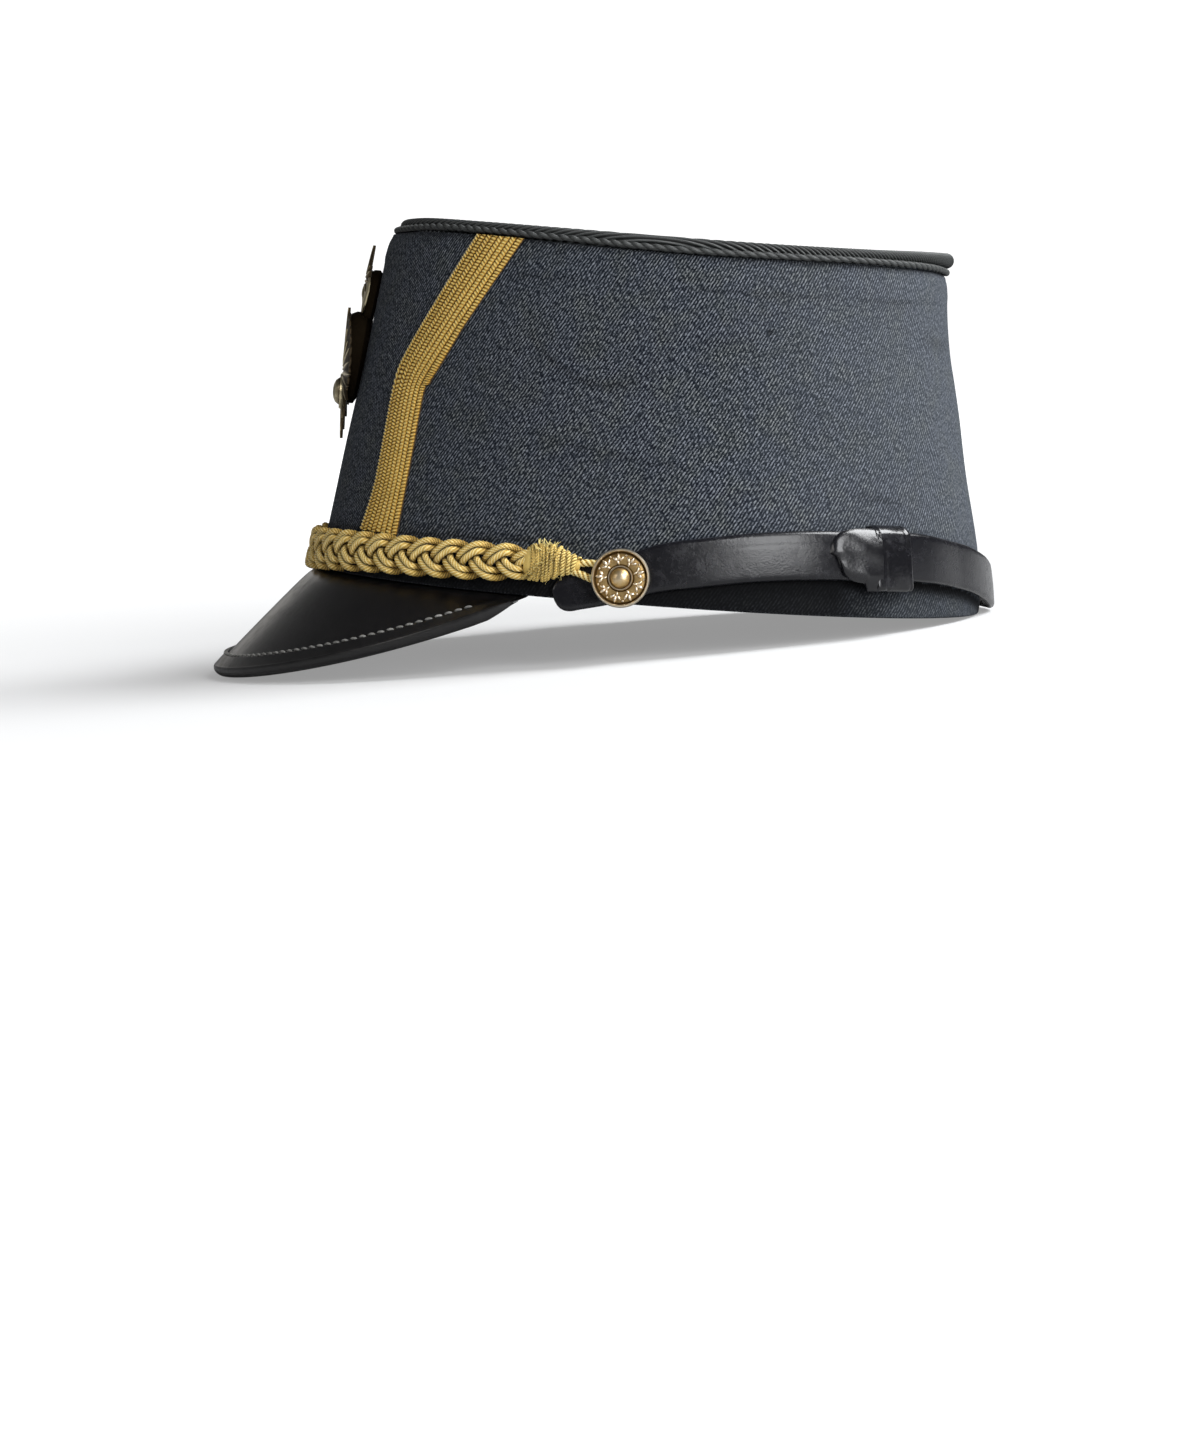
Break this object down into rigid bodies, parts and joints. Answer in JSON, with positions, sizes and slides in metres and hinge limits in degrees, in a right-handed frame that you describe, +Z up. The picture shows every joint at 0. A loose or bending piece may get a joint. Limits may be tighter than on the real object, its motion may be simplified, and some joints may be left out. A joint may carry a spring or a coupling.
{
  "type": "military dress cap",
  "caption": "Stiff tapering cloth cap with a flat top, leather peak, plaited gold cord, gold lace, leather strap with side buttons and a rayed metal badge.",
  "frame": {"origin": "middle of the bounding box's underside, on the surface that the cap rests on", "axes": "-X front (peak), +X back, -Y the wearer's left, +Z up; the cap rests on its peak and the back of its rim, so its own upright leans back from +Z"},
  "size_m": [0.2432, 0.1824, 0.1367],
  "materials": {
    "cloth": "blue-grey wool twill, matte",
    "cloth_top": "blue-grey wool twill, matte",
    "cord_cloth": "dark twisted cord, satin",
    "gold_lace": "woven metallic thread, satin",
    "gold_cord": "twisted metallic thread, satin",
    "leather": "black, semi-gloss",
    "leather_edge": "black, semi-gloss",
    "strap_leather": "black, worn, semi-gloss",
    "keeper_leather": "black, gloss",
    "brass": "stamped, polished",
    "badge_metal": "darkened, aged"
  },
  "bodies": {
    "root": {"crown_wall": "cloth", "crown_top": "cloth_top", "edge_cord_upper": "cord_cloth", "edge_cord_lower": "cord_cloth", "peak": "leather", "peak_binding": "leather_edge", "braid": "gold_cord", "knot_left": "gold_cord", "knot_right": "gold_cord", "button_cord_left": "gold_cord", "button_cord_right": "gold_cord", "lace_left": "gold_lace", "lace_right": "gold_lace", "strap_front": "strap_leather", "strap_rear": "strap_leather", "slide_keeper": "keeper_leather", "button_left": "brass", "button_right": "brass", "badge_lower": "badge_metal", "badge_upper": "badge_metal"}
  },
  "joints": []
}
